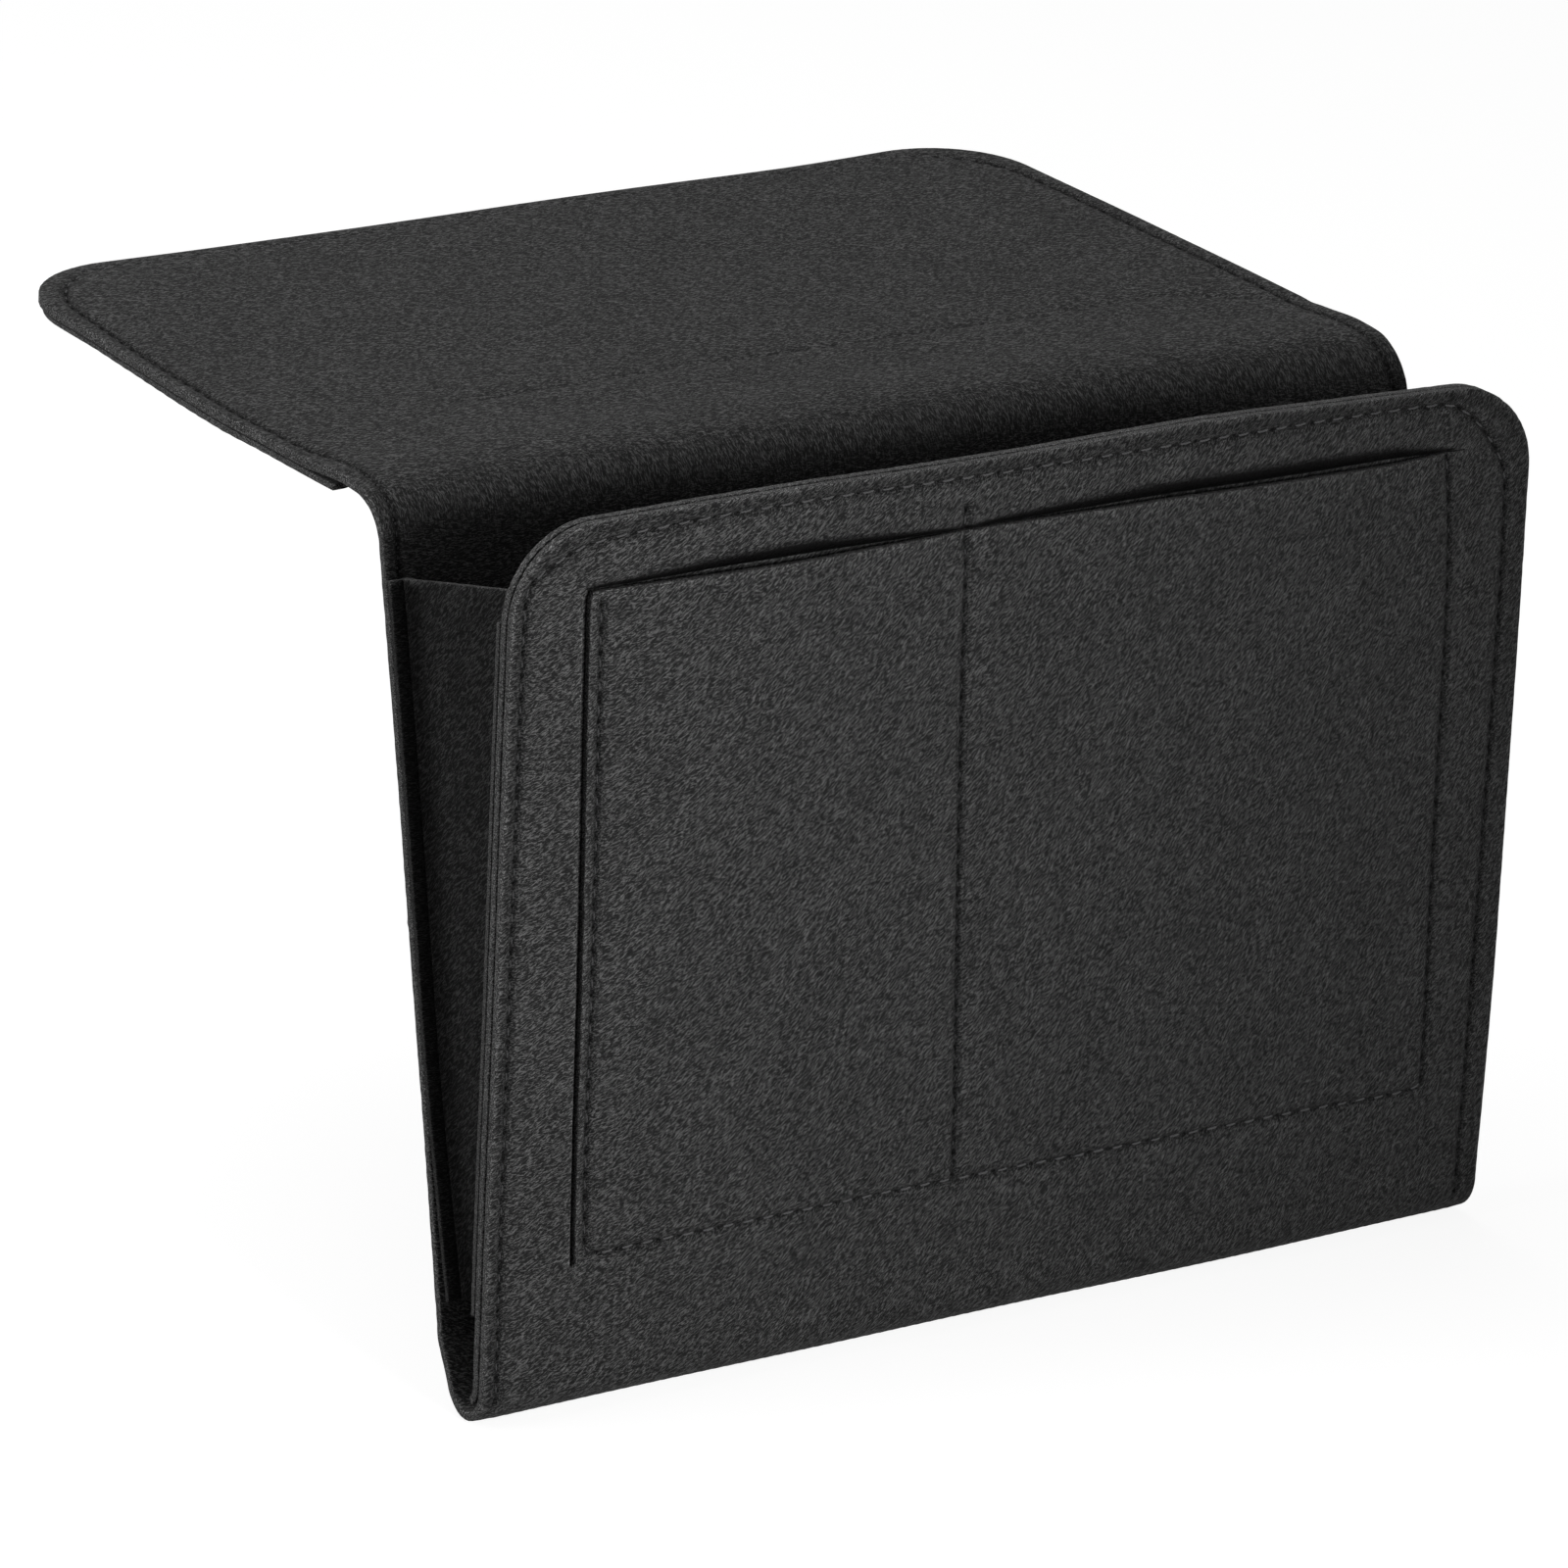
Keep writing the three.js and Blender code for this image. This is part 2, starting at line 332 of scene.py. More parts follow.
class Seam:
    """A whole number of stitches along a curve through the given points."""

    def __init__(self, points):
        self.line = rounded_line(np.array(points, float))
        steps = np.linalg.norm(np.diff(self.line, axis=0), axis=1)
        self.s = np.concatenate([[0], np.cumsum(steps)])
        self.count = max(1, round(self.s[-1] / PITCH))
        self.pitch = self.s[-1] / self.count

    def at(self, s):
        return np.stack([np.interp(s, self.s, self.line[:, k]) for k in (0, 1)], -1)

    def across(self, s):
        """Unit vectors to the left of the seam."""
        ahead = self.at(np.minimum(s + 0.4, self.s[-1])) - self.at(np.maximum(s - 0.4, 0))
        ahead /= np.linalg.norm(ahead, axis=-1)[..., None]
        return np.stack([-ahead[..., 1], ahead[..., 0]], -1)

    def samples(self):
        """Points along the seam, how far each one is into its stitch, from 0 to 1, and across."""
        s = np.arange(self.count * GRAIN + 1) * self.pitch / GRAIN
        return self.at(s), (np.arange(len(s)) % GRAIN) / GRAIN, self.across(s)


def rounded_line(points, steps=6):
    """A curve through the points that doesn't overshoot them much."""
    ends = np.concatenate([[2 * points[0] - points[1]], points, [2 * points[-1] - points[-2]]])
    rows = []
    for a, b, c, d in zip(ends, ends[1:], ends[2:], ends[3:]):
        ab, bc, cd = (max(np.linalg.norm(q - p), 1e-6) ** 0.5 for p, q in ((a, b), (b, c), (c, d)))
        m = (c - b) - bc * ((c - a) / (ab + bc) - (b - a) / ab)
        n = (c - b) - bc * ((d - b) / (bc + cd) - (d - c) / cd)
        t = np.arange(steps)[:, None] / steps
        rows.append((2 * t**3 - 3 * t**2 + 1) * b + (t**3 - 2 * t**2 + t) * m
                    + (3 * t**2 - 2 * t**3) * c + (t**3 - t**2) * n)
    return np.concatenate(rows + [points[-1:]])


def front_seam(points):
    """A seam through points given by their height over the front panel's foot."""
    return Seam([(x, V_FRONT + z) for x, z in points])


def back_v(z):
    """Where the strip's middle has that z in the back panel's frame."""
    return V_BACK - z - TANGENT


LEFT_FLAP = [(-156.2, back_v(-211)), (-156, back_v(-150)), (-156.2, back_v(-90)), (-156, back_v(-22)),
             (-155.4, V_BACK - 9)]
LEFT_FLAP += [(x, REACH - y) for x, y in [
    (-154.7, 30), (-156.7, 38.1), (-157.9, 55.6), (-158.8, 75), (-158.1, 96.7), (-157.2, 122.3),
    (-156.4, 137.9), (-155.2, 154.5), (-154.6, 164.8), (-153.6, 172.5), (-150.4, 181.3), (-145.5, 188.8),
    (-138, 194.9), (-130, 197.8), (-121, 198.6), (-60, 198.3)]]
RIGHT_FLAP = [(154.4, 30), (154.6, 60), (154.2, 110), (154.1, 160), (153.4, 171), (150, 181.5),
              (144.5, 189.5), (137, 195), (128, 197.9), (118, 198.4), (40, 198.6)]
FLAP_SEAM = Seam(LEFT_FLAP + [(x, REACH - y) for x, y in RIGHT_FLAP[::-1]]
                 + [(155, V_BACK - 9), (156, back_v(-22)), (155.8, back_v(-110)), (156.2, back_v(-211))])
RIM_SEAM = front_seam([
    (-156, -3), (-156.2, 60), (-156.4, 130), (-156.2, 190), (-156, 211), (-155.3, 217.5), (-151.7, 221.3),
    (-146.9, 224), (-142.3, 226), (-138.3, 227.2), (-132.6, 227.9), (-126.8, 228.4), (-84.3, 229.5),
    (-16.8, 228.6), (50, 228.5), (103.4, 228.2), (126, 227.5), (130.9, 227.1), (134.9, 225.7),
    (139.4, 222.6), (143.4, 218.8), (146.3, 215.1), (149.2, 211.2), (151.8, 204.7), (152.8, 189.3),
    (153.4, 120), (153.2, 50), (153.2, -3)])
POCKET_SEAM = front_seam([
    (-133.2, 210.3), (-132.7, 185.9), (-131.7, 110), (-130.7, 41.4), (-129.9, 34.4), (-127.5, 32.9),
    (-110, 32.8), (-37.6, 32.6), (12.2, 32), (100, 31.1), (134.5, 30.7), (137.9, 31.9), (138.2, 36),
    (136.5, 110), (134.7, 186.5), (131.9, 213)])
DIVIDER_SEAM = front_seam([(-23, 211.5), (-22.4, 205.5), (-22, 184), (-19, 110), (-16.2, 43.4),
                           (-15.9, 33.6)])
TAIL_SEAM = front_seam([(-23, 219.7), (-23.3, 214.9)])
FRONT_SEAMS = [RIM_SEAM, POCKET_SEAM, DIVIDER_SEAM, TAIL_SEAM]


def tree_of(points):
    tree = kdtree.KDTree(len(points))
    for k, p in enumerate(points):
        tree.insert((p[0], p[1], 0), k)
    tree.balance()
    return tree


def far_from(loops, uv):
    """How far points lie from the nearest point of some loops."""
    tree = tree_of(np.concatenate(loops))
    return np.array([tree.find((p[0], p[1], 0))[2] for p in uv])


class Press:
    """What the seams do to the felt near them, looked up by the nearest sample."""

    def __init__(self, seams):
        parts = [(seam.samples(), seam.pitch) for seam in seams]
        self.phase = np.concatenate([p[1] * pitch for p, pitch in parts])
        self.pitch = np.concatenate([np.full(len(p[1]), pitch) for p, pitch in parts])
        self.upright = np.abs(np.concatenate([p[2] for p, _ in parts])[:, 0])
        self.tree = tree_of(np.concatenate([p[0] for p, _ in parts]))

    def look(self, uv):
        """(height of the face over its flat, how dark it is from pressed felt and painted shade) at each
        point.
        """
        found = [self.tree.find((p[0], p[1], 0)) for p in uv]
        near = np.array([f[1] for f in found])
        d = np.array([f[2] for f in found])
        hole = np.minimum(self.phase[near], self.pitch[near] - self.phase[near])
        line, pit = bump(d, 0, 0.95), np.exp(-(d**2 + hole**2) / 0.75**2)
        loft = 0.22 * bump(d, 2.8, 1.5) * (0.7 - 0.3 * np.cos(2 * np.pi * hole / self.pitch[near]))
        deep = 0.3 + 0.7 * smooth(uv[:, 1], 6, 22)
        # Painted shade: the seam line darkens more where it runs upright, and the needle holes darken as
        # pits in shade; the rest is pressed felt.
        dark = (0.48 + 0.2 * self.upright[near]) * line + 0.3 * pit
        return (loft - 0.5 * line - 0.45 * pit - 0.33 * bump(d, 0, 4.5)) * deep, dark * deep


# --- felt meshes
def evenly(loop, spacing):
    """A closed loop with its points kept and others put between them."""
    rows = []
    for a, b in zip(loop, np.roll(loop, -1, axis=0)):
        n = max(1, math.ceil(np.linalg.norm(b - a) / spacing - 1e-6))
        rows.append(a + (b - a) * np.arange(n)[:, None] / n)
    return np.concatenate(rows)


def evened(values):
    """The values round a loop without sudden steps, never above their own."""
    for _ in range(3):
        values = np.minimum(values, (np.roll(values, 1) + np.roll(values, -1)) / 2 + 0.12)
    return values


def signed_area(loop):
    """Twice the area of a closed loop, above 0 where it runs anticlockwise."""
    return (loop[:, 0] * np.roll(loop[:, 1], -1) - loop[:, 1] * np.roll(loop[:, 0], -1)).sum()


def outward(loop):
    """Vectors out of a closed loop at its points, of length 1 and longer at corners."""
    ahead = np.roll(loop, -1, axis=0) - loop
    ahead /= np.linalg.norm(ahead, axis=1)[:, None]
    behind = np.roll(ahead, 1, axis=0)
    both = (ahead + behind) @ np.array([[0, -1], [1, 0]]) * np.sign(signed_area(loop))
    length = np.linalg.norm(both, axis=1)
    return both / length[:, None] / np.clip(length / 2, 0.6, 1)[:, None]


def inside(points, loop):
    """Which points lie in a closed loop."""
    a, b = loop, np.roll(loop, -1, axis=0)
    rise = np.where(b[:, 1] == a[:, 1], 1, b[:, 1] - a[:, 1])
    found = []
    for part in np.array_split(points, max(1, len(points) // 2000)):
        x, y = part[:, :1], part[:, 1:]
        crossed = (a[:, 1] > y) != (b[:, 1] > y)
        meets = a[:, 0] + (y - a[:, 1]) * (b[:, 0] - a[:, 0]) / rise
        found.append((crossed & (x < meets)).sum(1) % 2 == 1)
    return np.concatenate(found)


def thinned(groups, least):
    """The points of each group that keep their distance from those before them."""
    cells, kept = {}, []
    for points in groups:
        mine = []
        for p in points:
            key = (int(p[0] // least), int(p[1] // least))
            near = [q for i in (-1, 0, 1) for j in (-1, 0, 1)
                    for q in cells.get((key[0] + i, key[1] + j), ())]
            if all((q[0] - p[0]) ** 2 + (q[1] - p[1]) ** 2 > least**2 for q in near):
                mine.append(p)
                cells.setdefault(key, []).append(p)
        kept.append(np.array(mine).reshape(-1, 2))
    return kept


def lattice(outline, spacing, bands):
    """Rows of points over an outline, closer together where the felt bends."""
    low, high = outline.min(0), outline.max(0)
    points, v = [], low[1] + spacing / 2
    while v < high[1]:
        u = np.arange(low[0] + spacing * (0.25 + 0.5 * (len(points) % 2)), high[0], spacing)
        points.append(np.stack([u, np.full(len(u), v)], 1))
        v += next((fine for start, end, fine in bands if start <= v <= end), spacing)
    return np.concatenate(points)


def within(tris, loops, place_of, count):
    """The triangles in the first loop and outside the others. One that lies in a loop and has all its
    corners on it meets them in the loop's own order."""
    which, order, first = np.full(count, -1), np.zeros(count, int), 0
    for k, loop in enumerate(loops):
        ids = [place_of[first + i] for i in range(len(loop))]
        which[ids], order[ids] = k, np.arange(len(loop))
        first += len(loop)
    sizes, turns = [len(loop) for loop in loops], [signed_area(loop) > 0 for loop in loops]
    on = which[tris]
    same = (on[:, 0] >= 0) & (on[:, 0] == on[:, 1]) & (on[:, 0] == on[:, 2])
    size, turn = np.array(sizes)[on[:, 0]], np.array(turns)[on[:, 0]]
    a, b, c = order[tris].T
    enclosed = (((b - a) % size) < ((c - a) % size)) == turn
    return tris[~same | (enclosed == (on[:, 0] == 0))]


def filled(inner, seams, more, spacing, bands):
    """Points and triangles that fill the first loop outside the others, with rows of points along the
    seams, and the place of each of the loops' points among them."""
    rows = []
    for seam in seams:
        points, _, across = seam.samples()
        for offset in (0, 0.55, -0.55, 1.1, -1.1, 2, -2, 3.2, -3.2):
            rows.append(points + across * offset)
    fill = np.concatenate(rows + list(more) + [lattice(inner[0], spacing, bands)])
    keep = inside(fill, inner[0])
    for hole in inner[1:]:
        keep &= ~inside(fill, hole)
    fill = thinned([np.concatenate(inner), fill[keep]], CLOSEST)[1]
    flat = np.concatenate(inner + [fill])
    links, first = [], 0
    for loop in inner:
        n = len(loop)
        links += [(first + k, first + (k + 1) % n) for k in range(n)]
        first += n
    points = [Vector(p) for p in flat]
    points, _, tris, origin, _, _ = geometry.delaunay_2d_cdt(points, links, [], 0, 1e-6)
    place_of = {i: k for k, sources in enumerate(origin) for i in sources}
    flat = np.array([tuple(p) for p in points])
    return flat, within(np.array(tris), inner, place_of, len(flat)), place_of


EDGE_STEP, CLOSEST = 1.3, 0.42  # most room between an edge's points, least between those inside
ROUND = [(math.radians(a), cut) for a, cut in ((30, 0.5), (60, 0.8), (90, 1))]


def felt(name, loops, place, thick, faces, seams=(), radius=0.5, spacing=4.0, bands=(), swell=None,
         split=math.inf, roll=(0.35, 3.5), parting=0.0, painted_rim_shade=0.0, sew=1.0, under=None, sink_and_shade=None,
         more=()):
    """A ply of felt with rounded cut edges. loops are its outline and its holes, and faces says which of
    its faces the seams dent: 'a' the one above the middle, 'b' the one below. radius, that of the
    edges, may be a function of a loop. Points are spacing apart, or closer in bands of v. swell thickens
    the ply, and split is the v where it runs on in another. roll, or a function of v, is how deep and
    wide the pressed faces fall off toward a cut edge, and parting how deep the other one does. valley
    paints shade on the strip between seam and outline, sew scales the seams' depth, under says where the
    face below is pressed too, sink gives a further (depth, painted shade), and more the points it needs."""
    rng = np.random.default_rng(len(name) * 7919 + sum(map(ord, name)))
    loops = [evenly(np.array(loop, float), EDGE_STEP) for loop in loops]
    away = [outward(loop) * (1 if k == 0 else -1) for k, loop in enumerate(loops)]
    radii = [evened(radius(loop)) if callable(radius) else np.full(len(loop), radius) for loop in loops]
    inner = [loop - n * r[:, None] for loop, n, r in zip(loops, away, radii)]
    flat, tris, place_of = filled(inner, seams, more, spacing, bands)

    count = len(flat)
    lift = press = np.zeros(count)
    if seams:
        lift, press = Press(seams).look(flat)
        lift = lift * sew
    extra = swell(flat[:, 0], flat[:, 1]) if swell else 0
    ends = [loop[np.abs(loop[:, 1] - split) > 0.6] for loop in loops]
    far = far_from(ends, flat)
    # Painted shade on the strip between the outer seam and the cut edge.
    if painted_rim_shade:
        rim = far_from(ends[:1], flat)
        near = (1 - smooth(rim, 3.4, 4.8)) * smooth(rim, 0.2, 1.4) * past_split(flat[:, 1])
        press = np.maximum(press, painted_rim_shade * near)
    deep, wide = roll(flat[:, 1]) if callable(roll) else roll
    lift = lift - deep * bump(far, 0, wide)
    dark = np.zeros(count)
    # The darkness that sink gives is painted shade, also on the cut edge's rings.
    if sink_and_shade:
        depth, dark = sink_and_shade(flat[:, 0], flat[:, 1])
        lift, press = lift - depth, np.maximum(press, dark)
    apart = parting * bump(far, 0, 1.6)
    top = thick / 2 + extra + (lift if "a" in faces else -apart)
    share = under(flat[:, 1]) if under else 1
    low = -thick / 2 - extra - (lift if "b" in faces else -apart) * share
    u, v, h = [flat[:, 0]] * 2, [flat[:, 1]] * 2, [top + 0 * flat[:, 0], low + 0 * flat[:, 0]]
    edge = [np.zeros(2 * count)]
    pressed = [press if face in faces else dark for face in "ab"]
    quads, base, first, sharp = [], 2 * count, 0, set()
    for loop, n, r in zip(inner, away, radii):
        m = len(loop)
        ids = np.array([place_of[first + k] for k in range(m)])
        first += m
        wobble = rng.normal(0, 0.05, m)
        wobble = (wobble + np.roll(wobble, 1)) / 2 * (r > 0.1)
        edge[0][ids] = edge[0][ids + count] = 0.25
        rings = [ids]
        levels = [(math.sin(a), h[0][ids] - r * (1 - math.cos(a)), e) for a, e in ROUND]
        levels += [(1, (h[0][ids] + h[1][ids]) / 2, 1)]
        levels += [(math.sin(a), h[1][ids] + r * (1 - math.cos(a)), e) for a, e in ROUND[::-1]]
        for out_by, level, e in levels:
            moved = loop + n * ((r + wobble) * out_by)[:, None]
            u.append(moved[:, 0])
            v.append(moved[:, 1])
            h.append(level)
            edge.append(np.full(m, float(e)))
            pressed.append(dark[ids])
            rings.append(np.arange(base, base + m))
            base += m
        rings.append(ids + count)
        for a, b in zip(rings, rings[1:]):
            quads += np.stack([a, np.roll(a, -1), np.roll(b, -1), b], 1).tolist()
        cut = np.abs(loop[:, 1] - split) < 0.1
        for ring in rings:
            sharp.update(ring[cut].tolist())
    u, v, h, edge, pressed = (np.concatenate(x) for x in (u, v, h, edge, pressed))
    points = place(u, v, h) * MM
    mesh = bpy.data.meshes.new(name)
    mesh.from_pydata(points.tolist(), [], tris.tolist() + (tris[:, ::-1] + count).tolist() + quads)
    settle(mesh, sharp)
    put(mesh, "lay", "FLOAT_VECTOR", fibre_lay(name, u, v, h))
    put(mesh, "edge", "FLOAT", edge)
    put(mesh, "press", "FLOAT", pressed)
    if "strip" in name:
        put(mesh, "comb", "FLOAT", 0.9 * bump(v, (V_BEND + V_BACK) / 2 + 1, 7))
    return show(name, mesh)


def settle(mesh, sharp=()):
    """Faces turned outward and smooth, with sharp edges only between the given vertices."""
    bm = bmesh.new()
    bm.from_mesh(mesh)
    bmesh.ops.recalc_face_normals(bm, faces=bm.faces)
    for face in bm.faces:
        face.smooth = True
    for line in bm.edges:
        line.smooth = not (line.verts[0].index in sharp and line.verts[1].index in sharp)
    bm.to_mesh(mesh)
    bm.free()


def put(mesh, name, kind, values):
    """One value per vertex, for the material to read."""
    made = mesh.attributes.new(name, kind, "POINT")
    field = "vector" if kind == "FLOAT_VECTOR" else "value"
    made.data.foreach_set(field, np.asarray(values, np.float32).ravel())


def show(name, mesh):
    made = bpy.data.objects.new(name, mesh)
    bpy.context.scene.collection.objects.link(made)
    return made


def summed(f, x):
    """The integral of f from the first x to each."""
    return np.concatenate([[0], np.cumsum((f[1:] + f[:-1]) / 2 * np.diff(x))])


WEB_COS, WEB_SIN = 0.64, 0.77  # of the way the webs' fibres lean


def fibre_lay(name, u, v, h):
    """Coordinates along and across the felt's fibres. Their direction drifts over the front panel and
    leans in the webs, and they lie closer down the bend."""
    x = np.linspace(-170, 170, 69)
    slope = np.tan(np.radians(np.interp(x, [-160, -60, 100], [16, 38, 50])))
    if name in ("strip_lower", "lining"):
        run, lean = summed(np.sqrt(1 + slope**2), x), summed(slope, x)
        return np.stack([np.interp(u, x, run), 0.8 * (v - np.interp(u, x, lean)), h], 1)
    if "web" in name:
        return np.stack([WEB_COS * u + WEB_SIN * v, WEB_COS * v - WEB_SIN * u, h], 1)
    turned = v
    if "strip" in name:
        along = np.linspace(-10, V_BACK + 30, 120)
        eased = summed(0.62 + 0.38 * smooth(along, V_BEND - 6, V_BACK), along)
        turned = turned + np.interp(v, along, eased - along - eased[-1] + along[-1])
    return np.stack([u, turned, h], 1)


# --- threads
SIDES, THREAD = 8, 0.25  # how many sides a thread has, and its radius
RINGS = np.array([0.03, 0.08, 0.14, 0.22, 0.35, 0.5, 0.65, 0.78, 0.86, 0.92, 0.97])


def threads(name, seams, place, thick, face, keep=lambda u, v: u < math.inf):
    """The stitches of some seams on one face of a ply, each with its ends in holes. keep says which are
    made, by their middles."""
    rng = np.random.default_rng(sum(map(ord, name)))
    sign = 1 if face == "a" else -1
    t = RINGS
    middle, lengths, level = [], [], []
    for seam in seams:
        s = (np.arange(seam.count)[:, None] + t) * seam.pitch
        aside = rng.normal(0, 0.05, (seam.count, 1)) + 0.3 * (2 * t - 1)
        middle.append(seam.at(s) + seam.across(s) * aside[..., None])
        lengths.append(np.full((seam.count, 1), seam.pitch) * t)
        level.append(np.abs(seam.across(np.arange(seam.count) * seam.pitch)[:, 1]))
    middle, lengths, level = (np.concatenate(x) for x in (middle, lengths, level))
    kept = keep(middle[:, len(t) // 2, 0], middle[:, len(t) // 2, 1])
    middle, lengths, level = middle[kept], lengths[kept], level[kept]
    n, rings = middle.shape[:2]
    uv = middle.reshape(-1, 2)
    lift, _ = Press(seams).look(uv)
    groove = lift.reshape(n, rings)
    run = groove[:, rings // 2 : rings // 2 + 1]
    dive = np.exp(-((t * PITCH / 1.65) ** 2)) + np.exp(-(((1 - t) * PITCH / 1.65) ** 2))
    height = (thick / 2 + run + 0.36 * level[:, None] - 0.08 - 1.25 * dive).reshape(-1)
    here = place(uv[:, 0], uv[:, 1], sign * height)
    over = place(uv[:, 0], uv[:, 1], sign * (height + 0.2)) - here
    over = (over / np.linalg.norm(over, axis=1)[:, None]).reshape(n, rings, 3)
    here = here.reshape(n, rings, 3)
    ahead = np.gradient(here, axis=1)
    ahead /= np.linalg.norm(ahead, axis=2)[..., None]
    side = np.cross(ahead, over)
    side /= np.linalg.norm(side, axis=2)[..., None]
    over = np.cross(side, ahead)
    turn = (np.arange(SIDES) * 2 * np.pi / SIDES)[:, None]
    thickness = THREAD * (1 + rng.normal(0, 0.05, (n, 1, 1, 1)))
    ring = thickness * (np.cos(turn) * side[:, :, None] + np.sin(turn) * over[:, :, None])
    points = (here[:, :, None] + ring).reshape(-1, 3)
    faces = []
    for k in range(n):
        base = k * rings * SIDES
        for r in range(rings - 1):
            a = base + r * SIDES
            faces += [(a + i, a + (i + 1) % SIDES, a + SIDES + (i + 1) % SIDES, a + SIDES + i)
                      for i in range(SIDES)]
        faces.append(tuple(base + i for i in range(SIDES))[::-1])
        last = base + (rings - 1) * SIDES
        faces.append(tuple(last + i for i in range(SIDES)))
    mesh = bpy.data.meshes.new(name)
    mesh.from_pydata((points * MM).tolist(), [], faces)
    settle(mesh)
    twist = np.empty((n, rings, SIDES, 3))
    twist[..., 0] = lengths[:, :, None]
    twist[..., 1] = np.arange(SIDES) / SIDES
    twist[..., 2] = rng.uniform(0, 30, (n, 1, 1))
    put(mesh, "lay", "FLOAT_VECTOR", twist)
    # Painted shade on the stitches of upright runs.
    put(mesh, "press", "FLOAT", np.broadcast_to(0.5 * (1 - level)[:, None, None], (n, rings, SIDES)))
    return dress(show(name, mesh), THREADS)


# --- materials
class Nodes:
    """The node tree of a new material or world. Nodes are added with what feeds them."""

    def __init__(self, owner):
        owner.use_nodes = True
        self.owner, self.tree = owner, owner.node_tree
        self.tree.nodes.clear()

    def add(self, kind, out=0, **values):
        """A node by its kind. Names in capitals are its own settings and come first. Of the others,
        sockets are linked and the rest set."""
        made = self.tree.nodes.new("ShaderNode" + kind)
        for key, value in values.items():
            if key.isupper():
                setattr(made, key.lower(), value)
                continue
            socket = made.inputs[int(key[1:]) if key[1:].isdigit() else key.replace("_", " ")]
            if isinstance(value, bpy.types.NodeSocket):
                self.tree.links.new(value, socket)
            else:
                socket.default_value = value
        return made.outputs[out]

    def sum(self, *terms, how="ADD"):
        total = terms[0]
        for term in terms[1:]:
            total = self.add("Math", OPERATION=how, i0=total, i1=term)
        return total

    def times(self, a, b):
        return self.add("Math", OPERATION="MULTIPLY", i0=a, i1=b)

    def read(self, name, out=2):
        """An attribute of the mesh: output 1 is its vector, output 2 its value."""
        return self.add("Attribute", out, ATTRIBUTE_NAME=name)

    def span(self, value, low, high, at_low, at_high):
        """The value moved from one range into another."""
        return self.add("MapRange", Value=value, From_Min=low, From_Max=high, To_Min=at_low,
                        To_Max=at_high)

    def seen(self):
        """1 where the camera looks, also by a shiny or clear thing, and 0 for light on its way."""
        rays = self.tree.nodes.new("ShaderNodeLightPath")
        kinds = ("Is Camera Ray", "Is Glossy Ray", "Is Transmission Ray")
        return self.sum(*(rays.outputs[kind] for kind in kinds), how="MAXIMUM")

    def done(self, shader, kind="Material"):
        """The material or world, with that shader on its surface."""
        end = self.tree.nodes.new("ShaderNodeOutput" + kind)
        self.tree.links.new(shader, end.inputs["Surface"])
        return self.owner


def felt_material(name, tone, streak, comb=False):
    """Felt whose fibres follow "lay". It is lighter on "edge", partly its cut fibres and partly painted
    light, darker where "press" is, from pressed felt and painted shade, and with comb the fibres stand
    steep where "comb" is."""
    n = Nodes(bpy.data.materials.new(name))
    lay = n.read("lay", 1)
    wander = n.add("TexNoise", 1, Vector=lay, Scale=0.11, Detail=2.0)
    wander = n.add("VectorMath", OPERATION="SUBTRACT", i0=wander, i1=(0.5, 0.5, 0.5))
    wander = n.add("VectorMath", OPERATION="MULTIPLY", i0=wander, i1=(1.6, 1.6, 0))
    lay = n.add("VectorMath", OPERATION="ADD", i0=lay, i1=wander)

    def tufts(*ways):
        layers = []
        for turn, long, wide, shift in ways:
            at = n.add("Mapping", VECTOR_TYPE="TEXTURE", Vector=lay, Location=(shift, shift, 0),
                       Rotation=(0, 0, turn), Scale=(long, wide, wide))
            layers.append(n.add("TexNoise", Vector=at, Scale=1.0, Detail=1.0, Roughness=0.55))
        return n.sum(*layers, how="MAXIMUM")

    fibres = tufts((0.0, 1.9, 0.31, 0), (0.24, 1.6, 0.33, 37), (-0.22, 1.7, 0.30, 71))
    if comb:
        steep = tufts((1.25, 1.9, 0.36, 11), (1.8, 1.7, 0.36, 53), (1.5, 1.6, 0.34, 87))
        more = n.add("Math", OPERATION="SUBTRACT", i0=steep, i1=fibres)
        fibres = n.sum(fibres, n.times(n.read("comb"), more))
    grain = n.add("TexNoise", Vector=lay, Scale=2.9, Detail=2.0, Roughness=0.7)
    cloud = n.add("TexNoise", Vector=lay, Scale=0.045, Detail=3.0, Roughness=0.6)
    streaks = n.span(fibres, 0.56, 0.70, 1 - streak, 1 + 2.6 * streak)
    grains = n.span(grain, 0.3, 0.7, 0.62, 1.4)
    clouds = n.span(cloud, 0.3, 0.7, 0.93, 1.07)
    # Cut edges lighter: partly the felt's own cut fibres, partly painted light.
    cut = n.sum(n.times(n.read("edge"), n.span(grain, 0.3, 0.7, -0.1, 1.65)), 1.0)
    # Darker by pressed felt and by painted shade in seams, gaps and creases.
    dark = n.span(n.read("press"), 0.0, 1.0, 1.0, 0.0)
    shade = n.times(n.times(n.times(streaks, grains), n.times(clouds, cut)), dark)
    shade = n.times(shade, tone)
    colour = n.add("CombineColor", Red=shade, Green=shade, Blue=shade)
    relief = n.sum(fibres, n.times(grain, 0.35))
    normal = n.add("Bump", Strength=0.6, Distance=0.0005, Height=relief)
    rough = n.span(fibres, 0.3, 0.7, 0.98, 0.86)
    return n.done(n.add("BsdfPrincipled", Base_Color=colour, Roughness=rough, Normal=normal,
                        Specular_IOR_Level=0.02, Sheen_Weight=0.045, Sheen_Roughness=0.45))


